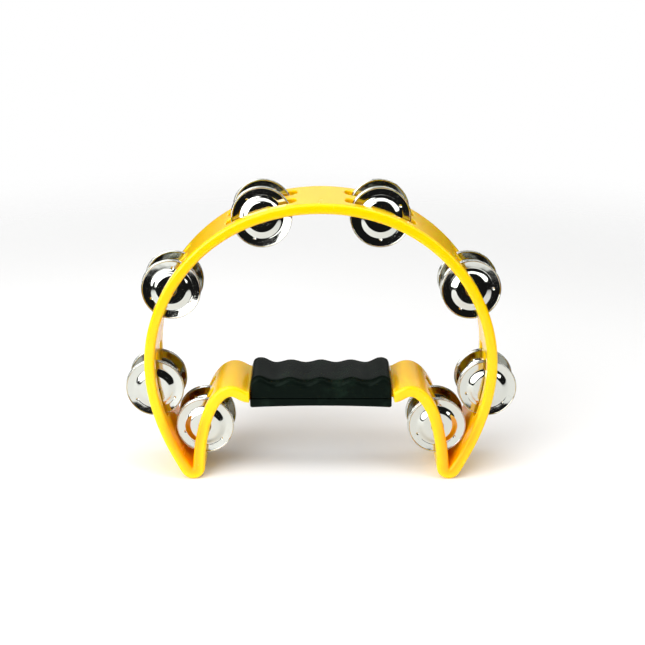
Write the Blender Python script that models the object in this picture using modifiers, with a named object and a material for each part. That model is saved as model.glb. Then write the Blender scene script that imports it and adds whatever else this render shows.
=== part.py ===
"""Half-moon hand tambourine: a one-piece band frame, a two-part handle grip, and eight jingle stations.

Metres, +Z up, +X to the right, -Y towards the front edge of the band.  The tambourine stands on its
two horn tips; the origin lies under the middle of the band, on the surface that the tips stand on.
Each station is one steel pin that carries two pairs of stamped jingles, one pair in the front slot
and one in the rear slot.
"""
import math

import bmesh
import bpy
import numpy as np
from mathutils import Matrix, Vector

# ---- band frame: the middle line of its wall, drawn in the XZ plane ----
FRAME_WIDTH = 0.244
FRAME_HEIGHT = 0.2017
FRAME_DEPTH = 0.052
WALL = 0.0072
HORN_WALL = 1.2 * WALL
HORN_SWELL = 0.016
LEG_WALL = 1.1 * WALL
HUMP_WALL = 1.15 * WALL
EDGE_RADIUS = 0.0026
WIDEST_HEIGHT = 0.0843
CROWN_FULLNESS = 0.074
SHOULDER_FULLNESS = 0.055
FLANK_FULLNESS = 0.0365
HORN_FULLNESS = 0.011
HORN_SPREAD = 0.0912
HORN_BEND = 0.0045
OUTER_LEG_ANGLE = math.radians(58.0)
INNER_LEG_ANGLE = math.radians(87.0)
LEG_FULLNESS = 0.036
HUMP_SPREAD = 0.0625
HUMP_HEIGHT = 0.0674
HUMP_OUTER_FULLNESS = 0.0115
HUMP_INNER_FULLNESS = 0.005
BAR_HEIGHT = 0.0630

# ---- jingles: pressed steel discs with a raised flat crown and a slightly dished flange ----
JINGLE_DIAMETER = 0.041
CROWN_DIAMETER = 0.0192
FLANGE_INNER_DIAMETER = 0.0292
HOLE_DIAMETER = 0.0075
SHEET = 0.0006
DOME_HEIGHT = 0.0022
FLANGE_DISH = 0.0005
ARCH_LEAN = math.radians(6.5)
LEG_LEAN = math.radians(2.0)
LEAN_STEP = math.radians(0.1)
SWAY = math.radians(7.0)
PAIR_GAP = 0.0006

# ---- pins and slots ----
PIN_DIAMETER = 0.0027
PIN_END_WALL = 0.003
PIN_RECESS = 0.0006
SLOT_WIDTH = 0.0125
SLOT_PITCH = 0.022
SLOT_END_CLEARANCE = 0.0020
SLOT_CORNER = 0.0045
CROWN_STATION = 0.0405
SHOULDER_SPACING = 0.0828
HORN_CLEARANCE = 0.0004
JINGLE_SPACING_GAP = 0.0036
SIDE_PLAY = 0.0008

# ---- handle grip ----
GRIP_LENGTH = 0.0994
GRIP_DEPTH = 0.0425
GRIP_SIDE_WALL = 0.004
GRIP_CORNER = 0.0058
GRIP_BOTTOM = 0.0534
GRIP_PARTING = 0.0605
GRIP_UNDER_ARCH = 0.0013
GRIP_CREST = 0.0756
GRIP_END_RISE = 0.0018
SCALLOP_DEPTH = 0.0027
SCALLOPS = 4
GRIP_ROUND = 0.0028

# ---- grip screws ----
SCREW_SPREAD = 0.0300
SCREW_DIAMETER = 0.003
SCREW_TOP = 0.0695
SCREW_HEAD_DIAMETER = 0.0058
SCREW_HEAD_HEIGHT = 0.0012
SCREW_SEAT = 0.0572
DRIVE_WIDTH = 0.0009
DRIVE_LENGTH = 0.0034
DRIVE_DEPTH = 0.0007

# ---- fits and facets ----
TOUCH_GAP = 0.0003
CUT_MARGIN = 0.001
WELD = 0.00002
CURVE_STEPS = 16
BEND_STEPS = 8
CORNER_STEPS = 2
DISC_SEGMENTS = 16
PIN_SEGMENTS = 12
SCALLOP_STEPS = 8


# ---------------------------------------------------------------- shared helpers

def clear_scene():
    """Remove every object, so that the script can be run again."""
    for item in list(bpy.data.objects):
        bpy.data.objects.remove(item, do_unlink=True)


def new_collection(name):
    """A fresh collection under the scene."""
    group = bpy.data.collections.new(name)
    bpy.context.scene.collection.children.link(group)
    return group


def finish_material(name, colour, roughness, metallic):
    """A Principled BSDF material."""
    material = bpy.data.materials.new(name)
    material.use_nodes = True
    shader = material.node_tree.nodes["Principled BSDF"]
    shader.inputs["Base Color"].default_value = (*colour, 1.0)
    shader.inputs["Roughness"].default_value = roughness
    shader.inputs["Metallic"].default_value = metallic
    return material


def add_object(name, data, group, material=None):
    """An object for a mesh or curve, in a collection, with its material."""
    item = bpy.data.objects.new(name, data)
    group.objects.link(item)
    if material is not None:
        data.materials.append(material)
    return item


def mesh_of_curve(item, group, material=None):
    """Swap a curve object for a welded mesh object of the same name and place."""
    bpy.context.view_layer.update()
    evaluated = item.evaluated_get(bpy.context.evaluated_depsgraph_get())
    mesh = bpy.data.meshes.new_from_object(evaluated)
    mesh.materials.clear()
    solid = bmesh.new()
    solid.from_mesh(mesh)
    bmesh.ops.remove_doubles(solid, verts=solid.verts, dist=WELD)
    bmesh.ops.recalc_face_normals(solid, faces=solid.faces)
    solid.to_mesh(mesh)
    solid.free()
    name = item.name
    place = item.matrix_world.copy()
    bpy.data.objects.remove(item, do_unlink=True)
    result = add_object(name, mesh, group, material)
    result.matrix_world = place
    return result


def mesh_from_bmesh(name, solid):
    """Write a bmesh to a new mesh."""
    mesh = bpy.data.meshes.new(name)
    solid.to_mesh(mesh)
    solid.free()
    return mesh


def cutter_object(name, solid, group):
    """A cutter: shown as wire, left out of the model."""
    item = add_object(name, mesh_from_bmesh(name, solid), group)
    item.hide_render = True
    item.display_type = "WIRE"
    return item


def cut(item, tool):
    """Subtract one cutter."""
    boolean = item.modifiers.new(tool.name, "BOOLEAN")
    boolean.operation = "DIFFERENCE"
    boolean.solver = "EXACT"
    boolean.object = tool


def add_box(solid, low, high):
    """A box between two corners."""
    size = Vector(high) - Vector(low)
    middle = (Vector(high) + Vector(low)) / 2
    place = Matrix.Translation(middle) @ Matrix.Diagonal((*size, 1.0))
    bmesh.ops.create_cube(solid, size=1.0, matrix=place)


def add_cylinder(solid, start, end, radius, segments):
    """A capped cylinder between two points."""
    axis = Vector(end) - Vector(start)
    turn = Vector((0, 0, 1)).rotation_difference(axis).to_matrix().to_4x4()
    place = Matrix.Translation((Vector(start) + Vector(end)) / 2) @ turn
    bmesh.ops.create_cone(solid, cap_ends=True, segments=segments, radius1=radius, radius2=radius,
                          depth=axis.length, matrix=place)


# ---------------------------------------------------------------- middle line of the band

def bezier(points, steps):
    """Points along a cubic curve, without its last point."""
    start, first, second, end = (np.array(point) for point in points)
    t = np.linspace(0.0, 1.0, steps, endpoint=False)[:, None]
    return ((1 - t) ** 3 * start + 3 * (1 - t) ** 2 * t * first
            + 3 * (1 - t) * t ** 2 * second + t ** 3 * end)


def horn_bend():
    """Right horn: the arc of the tip, from the outer leg's tangent to the inner leg's."""
    centre = np.array((HORN_SPREAD, HORN_BEND + HORN_WALL / 2))
    first = -(math.pi / 2 - OUTER_LEG_ANGLE)
    last = -math.pi + (math.pi / 2 - INNER_LEG_ANGLE)
    angles = np.linspace(first, last, BEND_STEPS + 1)
    return centre + HORN_BEND * np.column_stack((np.cos(angles), np.sin(angles)))


def right_half():
    """Middle line from the crown, down the outer leg, round the horn, and up to the bar's middle."""
    reach = (FRAME_WIDTH - WALL) / 2
    crown = FRAME_HEIGHT - WALL / 2
    bend = horn_bend()
    outer_leg = np.array((math.cos(OUTER_LEG_ANGLE), math.sin(OUTER_LEG_ANGLE)))
    inner_leg = np.array((-math.cos(INNER_LEG_ANGLE), math.sin(INNER_LEG_ANGLE)))
    grip_end = GRIP_LENGTH / 2 + TOUCH_GAP
    arch = bezier(((0, crown), (CROWN_FULLNESS, crown), (reach, WIDEST_HEIGHT + SHOULDER_FULLNESS),
                   (reach, WIDEST_HEIGHT)), CURVE_STEPS)
    flank = bezier(((reach, WIDEST_HEIGHT), (reach, WIDEST_HEIGHT - FLANK_FULLNESS),
                    bend[0] + HORN_FULLNESS * outer_leg, bend[0]), CURVE_STEPS // 2)
    leg = bezier((bend[-1], bend[-1] + LEG_FULLNESS * inner_leg,
                  (HUMP_SPREAD + HUMP_OUTER_FULLNESS, HUMP_HEIGHT), (HUMP_SPREAD, HUMP_HEIGHT)),
                 CURVE_STEPS)
    hump = bezier(((HUMP_SPREAD, HUMP_HEIGHT), (HUMP_SPREAD - HUMP_INNER_FULLNESS, HUMP_HEIGHT),
                   (grip_end + HUMP_INNER_FULLNESS, BAR_HEIGHT), (grip_end, BAR_HEIGHT)), BEND_STEPS)
    bar = np.array(((grip_end, BAR_HEIGHT), (0, BAR_HEIGHT)))
    return np.vstack((arch, flank, bend[:-1], leg, hump, bar))


def closed_middle_line():
    """The whole loop: the right half, then its mirror image back to the crown."""
    right = right_half()
    left = right[1:-1][::-1] * np.array((-1, 1))
    return np.vstack((right, left))


class MiddleLine:
    """Lengths, points and outward directions along the right half of the middle line."""

    def __init__(self):
        self.points = right_half()
        steps = np.linalg.norm(np.diff(self.points, axis=0), axis=1)
        self.lengths = np.concatenate(((0.0,), np.cumsum(steps)))
        self.tip = int(np.argmin(self.points[:, 1]))
        self.top = self.tip + int(np.argmax(self.points[self.tip:, 1]))

    def at(self, length):
        """Point at a length from the crown."""
        return np.array([np.interp(length, self.lengths, self.points[:, axis]) for axis in (0, 1)])

    def outward(self, length):
        """Unit direction out of the band, across its wall."""
        step = WALL / 2
        along = self.at(length + step) - self.at(length - step)
        return np.array((-along[1], along[0])) / np.linalg.norm(along)

    def wall(self, length):
        """Thickness of the wall: fuller at the horn, the inner leg and the hump than on the outside."""
        horn = self.lengths[self.tip]
        hump = self.lengths[self.top]
        places = (0.0, horn - HORN_SWELL, horn, (horn + hump) / 2, hump)
        return np.interp(length, places, (WALL, WALL, HORN_WALL, LEG_WALL, HUMP_WALL))

    def inner_leg_clear_of_outer(self, distance):
        """The lowest length on the inner leg where a jingle's centre is a distance from the outer wall."""
        outer_leg = self.points[:self.tip]
        for length in np.arange(self.lengths[self.tip], self.lengths[self.top], SHEET):
            centre = self.at(length) - np.array((0.0, hang_drop()))
            starts, spans = outer_leg[:-1], np.diff(outer_leg, axis=0)
            shares = ((centre - starts) * spans).sum(axis=1) / (spans ** 2).sum(axis=1)
            shares = np.clip(shares, 0.0, 1.0)
            nearest = starts + shares[:, None] * spans
            walls = self.wall(self.lengths[:self.tip - 1] + shares * np.diff(self.lengths[:self.tip]))
            if (np.linalg.norm(nearest - centre, axis=1) - walls / 2).min() >= distance:
                return float(length)
        return float(self.lengths[self.top])

    def outer_leg_clear_of(self, point, distance):
        """The last length before the horn that is a stated distance from a point."""
        lengths = np.arange(0.0, self.lengths[self.tip], SHEET)
        away = np.array([np.linalg.norm(self.at(length) - point) for length in lengths])
        return float(lengths[away >= distance][-1])


def stations(line):
    """Length along the right half of each of its four jingle stations."""
    horn = line.inner_leg_clear_of_outer(JINGLE_DIAMETER / 2 + HORN_CLEARANCE)
    flank = line.outer_leg_clear_of(line.at(horn), JINGLE_DIAMETER + JINGLE_SPACING_GAP)
    return {"crown": CROWN_STATION, "shoulder": CROWN_STATION + SHOULDER_SPACING,
            "flank": flank, "horn": horn}


# ---------------------------------------------------------------- band frame

def band_section(wall):
    """Rounded rectangle that is carried round the middle line: (across the wall, depth)."""
    half_wall = wall / 2 - EDGE_RADIUS
    half_depth = FRAME_DEPTH / 2 - EDGE_RADIUS
    corners = ((half_wall, half_depth, 0.0), (-half_wall, half_depth, math.pi / 2),
               (-half_wall, -half_depth, math.pi), (half_wall, -half_depth, 1.5 * math.pi))
    points = []
    for across, along, first in corners:
        for step in range(CORNER_STEPS + 1):
            angle = first + step * math.pi / 2 / CORNER_STEPS
            points.append((across + EDGE_RADIUS * math.cos(angle), along + EDGE_RADIUS * math.sin(angle)))
    return points


def loop_rings(line):
    """A section at each point of the loop: the right half, then its mirror image."""
    places = closed_middle_line()
    along = np.roll(places, -1, axis=0) - np.roll(places, 1, axis=0)
    outward = np.column_stack((-along[:, 1], along[:, 0])) / np.linalg.norm(along, axis=1)[:, None]
    last = len(line.lengths) - 1
    for index, (place, out) in enumerate(zip(places, outward)):
        wall = line.wall(line.lengths[min(index, 2 * last - index)])
        corners = [(*(place + across * out), depth) for across, depth in band_section(wall)]
        yield [(across, depth, up) for across, up, depth in corners]


def swept_band(line, parts, material):
    """The band before its slots are cut: its section carried round the loop."""
    solid = bmesh.new()
    rings = [[solid.verts.new(corner) for corner in ring] for ring in loop_rings(line)]
    for before, after in zip(rings, rings[1:] + rings[:1]):
        for corner, first in enumerate(before):
            follower = (corner + 1) % len(before)
            solid.faces.new((first, before[follower], after[follower], after[corner]))
    bmesh.ops.recalc_face_normals(solid, faces=solid.faces)
    return add_object("frame", mesh_from_bmesh("frame", solid), parts, material)


def slot_half_widths():
    """Offsets along the slot and half widths there: straight sides and rounded corners."""
    half_length = JINGLE_DIAMETER / 2 + hang_drop() + SLOT_END_CLEARANCE
    straight = half_length - SLOT_CORNER
    flat = SLOT_WIDTH / 2 - SLOT_CORNER
    turns = np.radians((90.0, 60.0, 30.0, 0.0))
    end = [(straight + SLOT_CORNER * math.sin(turn), flat + SLOT_CORNER * math.cos(turn)) for turn in turns]
    middle = [(share * straight, SLOT_WIDTH / 2) for share in (0.5, 0.0, -0.5)]
    return end + middle + [(-offset, width) for offset, width in reversed(end)]


def add_slot(solid, line, length, side, depth):
    """A slot through the wall at a station, following the wall's bend."""
    reach = HORN_WALL / 2 + CUT_MARGIN
    rings = []
    for offset, half_width in slot_half_widths():
        point = line.at(length + offset)
        out = line.outward(length + offset)
        corners = ((-reach, -half_width), (-reach, half_width), (reach, half_width), (reach, -half_width))
        places = [(point + across * out, depth + along) for across, along in corners]
        rings.append([solid.verts.new((side * place[0], along, place[1])) for place, along in places])
    for before, after in zip(rings, rings[1:]):
        for corner in range(4):
            follower = (corner + 1) % 4
            solid.faces.new((before[corner], before[follower], after[follower], after[corner]))
    solid.faces.new(rings[0])
    solid.faces.new(rings[-1])


def slot_cutter(line, cutters):
    """Sixteen slots: a front and a rear one at each station, on both sides."""
    solid = bmesh.new()
    for length in stations(line).values():
        for side in (1, -1):
            for depth in (-SLOT_PITCH / 2, SLOT_PITCH / 2):
                add_slot(solid, line, length, side, depth)
    bmesh.ops.recalc_face_normals(solid, faces=solid.faces)
    return cutter_object("slot_cutter", solid, cutters)


def bore_cutter(line, cutters):
    """Eight blind bores, drilled from the rear edge, for the pins."""
    solid = bmesh.new()
    radius = PIN_DIAMETER / 2 + TOUCH_GAP
    for length in stations(line).values():
        across, up = line.at(length)
        for side in (1, -1):
            start = (side * across, PIN_END_WALL - FRAME_DEPTH / 2 - TOUCH_GAP, up)
            end = (side * across, FRAME_DEPTH / 2 + CUT_MARGIN, up)
            add_cylinder(solid, start, end, radius, PIN_SEGMENTS)
    return cutter_object("bore_cutter", solid, cutters)


def bar_cutters(cutters):
    """Trims the bar's edges and faces where the grip covers it, and drills its screw holes."""
    half_length = GRIP_LENGTH / 2 + TOUCH_GAP
    half_depth = FRAME_DEPTH / 2 + CUT_MARGIN
    bar_depth = GRIP_DEPTH / 2 - GRIP_SIDE_WALL
    reach = HUMP_WALL / 2 + CUT_MARGIN
    edges, faces, holes = bmesh.new(), bmesh.new(), bmesh.new()
    for side in (1, -1):
        near, far = sorted((side * bar_depth, side * half_depth))
        add_box(edges, (-half_length, near, BAR_HEIGHT - reach), (half_length, far, BAR_HEIGHT + reach))
        near, far = sorted((side * WALL / 2, side * reach))
        add_box(faces, (-half_length, -half_depth, BAR_HEIGHT + near),
                (half_length, half_depth, BAR_HEIGHT + far))
        add_cylinder(holes, (side * SCREW_SPREAD, 0, BAR_HEIGHT - reach),
                     (side * SCREW_SPREAD, 0, BAR_HEIGHT + reach),
                     SCREW_DIAMETER / 2 + TOUCH_GAP, PIN_SEGMENTS)
    return [cutter_object(name, solid, cutters) for name, solid in
            (("bar_edges", edges), ("bar_faces", faces), ("bar_holes", holes))]


def build_frame(line, parts, cutters, material):
    """The one-piece moulded band with its slots, bores and narrowed bar."""
    band = swept_band(line, parts, material)
    cut(band, slot_cutter(line, cutters))
    cut(band, bore_cutter(line, cutters))
    for tool in bar_cutters(cutters):
        cut(band, tool)


# ---------------------------------------------------------------- handle grip

def scallop_pitch():
    """Distance between the grip's crests: the scallops share the length between its rounded ends."""
    return (GRIP_LENGTH - 2 * GRIP_CORNER) / SCALLOPS


def scallop_height(across):
    """Height of the grip's top: crests a pitch apart, and higher crests at both ends."""
    turn = across / scallop_pitch()
    height = GRIP_CREST - SCALLOP_DEPTH * math.sin(math.pi * turn) ** 2
    past = abs(turn) - (SCALLOPS - 1) / 2
    if past > 0:
        height += GRIP_END_RISE * math.sin(math.pi * past) ** 2
    return height


def grip_outline():
    """Outline of the whole grip, seen from the front."""
    last_crest = GRIP_LENGTH / 2 - GRIP_CORNER
    end_top = GRIP_CREST + GRIP_END_RISE
    shares = np.linspace(-1.0, 1.0, SCALLOPS * SCALLOP_STEPS + 1)
    top = [(share * last_crest, scallop_height(share * last_crest)) for share in shares]
    turns = [step * math.pi / 2 / 4 for step in range(1, 5)]
    right = [(last_crest + GRIP_CORNER * math.sin(turn), end_top - GRIP_CORNER * (1 - math.cos(turn)))
             for turn in turns]
    left = [(-across, up) for across, up in reversed(right)]
    under = [(share * GRIP_LENGTH / 2, GRIP_BOTTOM + GRIP_UNDER_ARCH * (1 - share * share))
             for share in (1.0, 0.75, 0.5, 0.25, 0.0, -0.25, -0.5, -0.75, -1.0)]
    return left + top + right + under


def poly_curve(name, points, group):
    """A closed, flat poly curve through points (x, y)."""
    data = bpy.data.curves.new(name, "CURVE")
    data.dimensions = "2D"
    spline = data.splines.new("POLY")
    spline.points.add(len(points) - 1)
    for target, (across, up) in zip(spline.points, points):
        target.co = (across, up, 0.0, 1.0)
    spline.use_cyclic_u = True
    return add_object(name, data, group)


def grip_blank(name, parts, material):
    """The whole grip's outer shape, with rounded front and rear rims."""
    outline = poly_curve(name, grip_outline(), parts)
    outline.data.fill_mode = "BOTH"
    outline.data.extrude = GRIP_DEPTH / 2 - GRIP_ROUND
    outline.data.bevel_depth = GRIP_ROUND
    outline.data.bevel_resolution = 1
    outline.data.offset = -GRIP_ROUND
    outline.rotation_euler = (math.pi / 2, 0, 0)
    return mesh_of_curve(outline, parts, material)


def grip_half_cutter(name, low, high, cutters):
    """Takes away the other half of the grip and the channel for the bar."""
    solid = bmesh.new()
    half_length = GRIP_LENGTH / 2 + CUT_MARGIN
    half_depth = GRIP_DEPTH / 2 + CUT_MARGIN
    add_box(solid, (-half_length, -half_depth, low), (half_length, half_depth, high))
    half = cutter_object(name + "_half", solid, cutters)
    solid = bmesh.new()
    channel = GRIP_DEPTH / 2 - GRIP_SIDE_WALL + TOUCH_GAP
    reach = WALL / 2 + TOUCH_GAP
    add_box(solid, (-half_length, -channel, BAR_HEIGHT - reach), (half_length, channel, BAR_HEIGHT + reach))
    return half, cutter_object(name + "_channel", solid, cutters)


def screw_hole_cutter(name, radius, low, high, cutters):
    """Two upright holes, one for each grip screw."""
    solid = bmesh.new()
    for side in (1, -1):
        add_cylinder(solid, (side * SCREW_SPREAD, 0, low), (side * SCREW_SPREAD, 0, high),
                     radius, PIN_SEGMENTS)
    return cutter_object(name, solid, cutters)


def build_grip(parts, cutters, material):
    """Upper and lower halves, clamped round the bar by two screws from below."""
    above = GRIP_CREST + GRIP_END_RISE + CUT_MARGIN
    below = GRIP_BOTTOM - CUT_MARGIN
    shank = SCREW_DIAMETER / 2 + TOUCH_GAP
    upper = grip_blank("grip_upper", parts, material)
    for tool in grip_half_cutter("grip_upper", below, GRIP_PARTING + TOUCH_GAP / 2, cutters):
        cut(upper, tool)
    cut(upper, screw_hole_cutter("upper_pilot", shank, BAR_HEIGHT, SCREW_TOP + TOUCH_GAP, cutters))
    lower = grip_blank("grip_lower", parts, material)
    for tool in grip_half_cutter("grip_lower", GRIP_PARTING - TOUCH_GAP / 2, above, cutters):
        cut(lower, tool)
    cut(lower, screw_hole_cutter("lower_hole", shank, below, BAR_HEIGHT, cutters))
    cut(lower, screw_hole_cutter("head_pocket", SCREW_HEAD_DIAMETER / 2 + TOUCH_GAP, below,
                                 SCREW_SEAT, cutters))


def profile_mesh(name, profile, closed):
    """The half section of a turned solid, as edges at +X that run down its outer side."""
    solid = bmesh.new()
    verts = [solid.verts.new((radius, 0, up)) for radius, up in profile]
    followers = verts[1:] + verts[:1] if closed else verts[1:]
    for before, after in zip(verts, followers):
        solid.edges.new((before, after))
    return mesh_from_bmesh(name, solid)


def turn(item, segments):
    """A full turn of an object's profile about its own Z axis."""
    screw = item.modifiers.new("turn", "SCREW")
    screw.steps = segments
    screw.render_steps = segments
    screw.use_merge_vertices = True
    screw.merge_threshold = WELD


def build_screws(parts, cutters, material):
    """Two pan-head screws with a cross drive, heads in the pockets under the grip."""
    top = SCREW_TOP
    seat = SCREW_SEAT - TOUCH_GAP
    bottom = seat - SCREW_HEAD_HEIGHT
    shank = SCREW_DIAMETER / 2
    head = SCREW_HEAD_DIAMETER / 2
    for side, label in ((1, "right"), (-1, "left")):
        profile = [(0, top - SCREW_SEAT), (shank, top - SCREW_SEAT), (shank, seat - SCREW_SEAT),
                   (head, seat - SCREW_SEAT), (head, bottom - SCREW_SEAT), (0, bottom - SCREW_SEAT)]
        mesh = profile_mesh("grip_screw", profile, closed=False)
        screw = add_object("grip_screw_" + label, mesh, parts, material)
        turn(screw, PIN_SEGMENTS)
        screw.location = (side * SCREW_SPREAD, 0, SCREW_SEAT)
        solid = bmesh.new()
        for wide, long in ((DRIVE_WIDTH, DRIVE_LENGTH), (DRIVE_LENGTH, DRIVE_WIDTH)):
            add_box(solid, (side * SCREW_SPREAD - wide / 2, -long / 2, bottom - CUT_MARGIN),
                    (side * SCREW_SPREAD + wide / 2, long / 2, bottom + DRIVE_DEPTH))
        drive = cutter_object("drive_" + label, solid, cutters)
        cut(screw, drive)
        screw.modifiers[-1].use_self = True


# ---------------------------------------------------------------- pins and jingles

def build_pins(line, parts, material):
    """One pin a station, pressed in from the rear edge through both slots."""
    for station, length in stations(line).items():
        across, up = line.at(length)
        front = PIN_END_WALL - FRAME_DEPTH / 2
        rear = FRAME_DEPTH / 2 - PIN_RECESS
        for side, label in ((1, "right"), (-1, "left")):
            solid = bmesh.new()
            add_cylinder(solid, (0, front, 0), (0, rear, 0), PIN_DIAMETER / 2, PIN_SEGMENTS)
            name = f"pin_{station}_{label}"
            pin = add_object(name, mesh_from_bmesh(name, solid), parts, material)
            pin.location = (side * across, 0, up)


def hang_drop():
    """How far a jingle's centre hangs below its pin's, with its hole's edge on the pin."""
    return (HOLE_DIAMETER - PIN_DIAMETER) / 2 - TOUCH_GAP


def jingle_profile():
    """Closed profile of the pressed disc: (radius, height), crown up, flange's back face at zero."""
    hole = HOLE_DIAMETER / 2
    crown = CROWN_DIAMETER / 2
    flange = FLANGE_INNER_DIAMETER / 2
    rim = JINGLE_DIAMETER / 2
    under = [(hole, DOME_HEIGHT), (crown, DOME_HEIGHT), (flange, 0.0), (rim, FLANGE_DISH)]
    over = [(radius, up + SHEET) for radius, up in under]
    return over + under[::-1]


def pair_reach(lean):
    """Distance from a leaning disc's hole to the part of it nearest its partner."""
    middle = DOME_HEIGHT + SHEET / 2
    return max((middle - up) * math.cos(lean) + (radius - hang_drop()) * math.sin(lean)
               for radius, up in jingle_profile())


def side_reach(lean, slope):
    """Distance from a pair's middle to the outermost part of a leaning disc inside its slot."""
    middle = DOME_HEIGHT + SHEET / 2
    spans = [(radius * math.sin(slope) + hang_drop() + WALL / 2 * math.cos(slope), up)
             for radius, up in jingle_profile()]
    outermost = max((up - middle) * math.cos(lean) + below * math.sin(lean) for below, up in spans)
    return PAIR_GAP / 2 + pair_reach(lean) + outermost


def station_lean(line, station, length):
    """The jingles lean as far as they naturally would, or as far as the slot lets them."""
    natural = {"crown": ARCH_LEAN, "shoulder": ARCH_LEAN, "flank": LEG_LEAN, "horn": LEG_LEAN}[station]
    slope = math.acos(min(1.0, abs(line.outward(length)[1])))
    lean = natural
    while lean > 0.0 and side_reach(lean, slope) > SLOT_WIDTH / 2 - SIDE_PLAY:
        lean -= LEAN_STEP
    return max(lean, 0.0)


def hang_jingle(name, pin, depth, facing, lean, mesh, parts):
    """One disc on its pin: it faces out of its pair, and its top leans towards its partner."""
    disc = add_object(name, mesh, parts)
    turn(disc, DISC_SEGMENTS)
    half_turn = Matrix.Rotation(math.pi if facing > 0 else 0.0, 4, "Z")
    stand = Matrix.Rotation(math.pi / 2 - lean, 4, "X")
    swing = Matrix.Rotation(SWAY, 4, "Z")
    hang = Matrix.Translation((0, -hang_drop(), -DOME_HEIGHT - SHEET / 2))
    hole = Matrix.Translation((0, depth + facing * (PAIR_GAP / 2 + pair_reach(lean)), 0))
    disc.parent = pin
    disc.matrix_parent_inverse = Matrix.Identity(4)
    disc.matrix_basis = hole @ half_turn @ stand @ swing @ hang


def build_jingles(line, parts, material):
    """Two pairs at each station, under an empty on the pin's axis."""
    mesh = profile_mesh("jingle", jingle_profile(), closed=True)
    mesh.materials.append(material)
    for station, length in stations(line).items():
        across, up = line.at(length)
        lean = station_lean(line, station, length)
        for side, label in ((1, "right"), (-1, "left")):
            pin = add_object(f"station_{station}_{label}", None, parts)
            pin.location = (side * across, 0, up)
            for row, depth in (("front", -SLOT_PITCH / 2), ("rear", SLOT_PITCH / 2)):
                for number, facing in ((1, -1), (2, 1)):
                    name = f"jingle_{station}_{label}_{row}_{number}"
                    hang_jingle(name, pin, depth, facing, lean, mesh, parts)


def main():
    """Build every part."""
    clear_scene()
    parts = new_collection("tambourine")
    cutters = new_collection("tambourine_cutters")
    line = MiddleLine()
    yellow = finish_material("yellow_plastic", (0.95, 0.72, 0.0), 0.12, 0.0)
    black = finish_material("black_grip", (0.012, 0.014, 0.012), 0.38, 0.0)
    bright = finish_material("bright_steel", (0.80, 0.80, 0.78), 0.06, 1.0)
    plain = finish_material("plain_steel", (0.55, 0.55, 0.53), 0.3, 1.0)
    build_frame(line, parts, cutters, yellow)
    build_grip(parts, cutters, black)
    build_screws(parts, cutters, plain)
    build_pins(line, parts, plain)
    build_jingles(line, parts, bright)


main()
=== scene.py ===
"""Half-moon hand tambourine: fine surfaces, finishes and a small studio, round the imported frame.

Metres, +Z up, +X to the right, -Y towards the front edge of the band, as in the frame.  The band is
worked out on its own coordinates (length along the middle line, depth, height off the middle line)
and then carried onto the loop.  The jingles are turned profiles set on the places of the CAD discs.
"""
from __future__ import annotations

import logging
import math
from dataclasses import dataclass, field
from enum import Enum
from typing import Any, Sequence

import bmesh
import bpy
import numpy as np
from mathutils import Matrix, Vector


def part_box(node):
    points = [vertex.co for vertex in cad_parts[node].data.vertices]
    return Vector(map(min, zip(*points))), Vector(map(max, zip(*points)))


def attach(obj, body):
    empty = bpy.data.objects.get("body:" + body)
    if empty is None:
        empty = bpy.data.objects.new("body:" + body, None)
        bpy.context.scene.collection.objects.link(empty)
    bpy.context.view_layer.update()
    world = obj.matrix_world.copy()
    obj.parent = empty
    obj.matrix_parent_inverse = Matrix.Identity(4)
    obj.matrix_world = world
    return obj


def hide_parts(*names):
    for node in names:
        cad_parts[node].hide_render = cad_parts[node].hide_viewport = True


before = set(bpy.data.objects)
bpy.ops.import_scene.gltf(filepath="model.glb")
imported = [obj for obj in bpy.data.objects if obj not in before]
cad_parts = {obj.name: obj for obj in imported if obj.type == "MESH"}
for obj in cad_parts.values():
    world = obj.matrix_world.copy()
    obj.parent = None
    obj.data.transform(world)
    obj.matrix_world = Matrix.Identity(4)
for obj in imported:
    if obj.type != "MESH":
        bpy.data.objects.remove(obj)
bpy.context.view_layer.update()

ROOT_BODY = "frame_body"
WELD = 1e-6

log = logging.getLogger("tambourine")

Array = np.ndarray
Triple = tuple[float, float, float]


class Station(Enum):
    """The four jingle stations on each side, from the crown down to the horn."""

    CROWN = "crown"
    SHOULDER = "shoulder"
    FLANK = "flank"
    HORN = "horn"


class Side(Enum):
    """Left and right halves, with the sign of X on each."""

    LEFT = -1
    RIGHT = 1

    @property
    def word(self) -> str:
        """The side's name inside the names of nodes."""
        return self.name.lower()


# ---------------------------------------------------------------- surfaces from arrays

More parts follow.
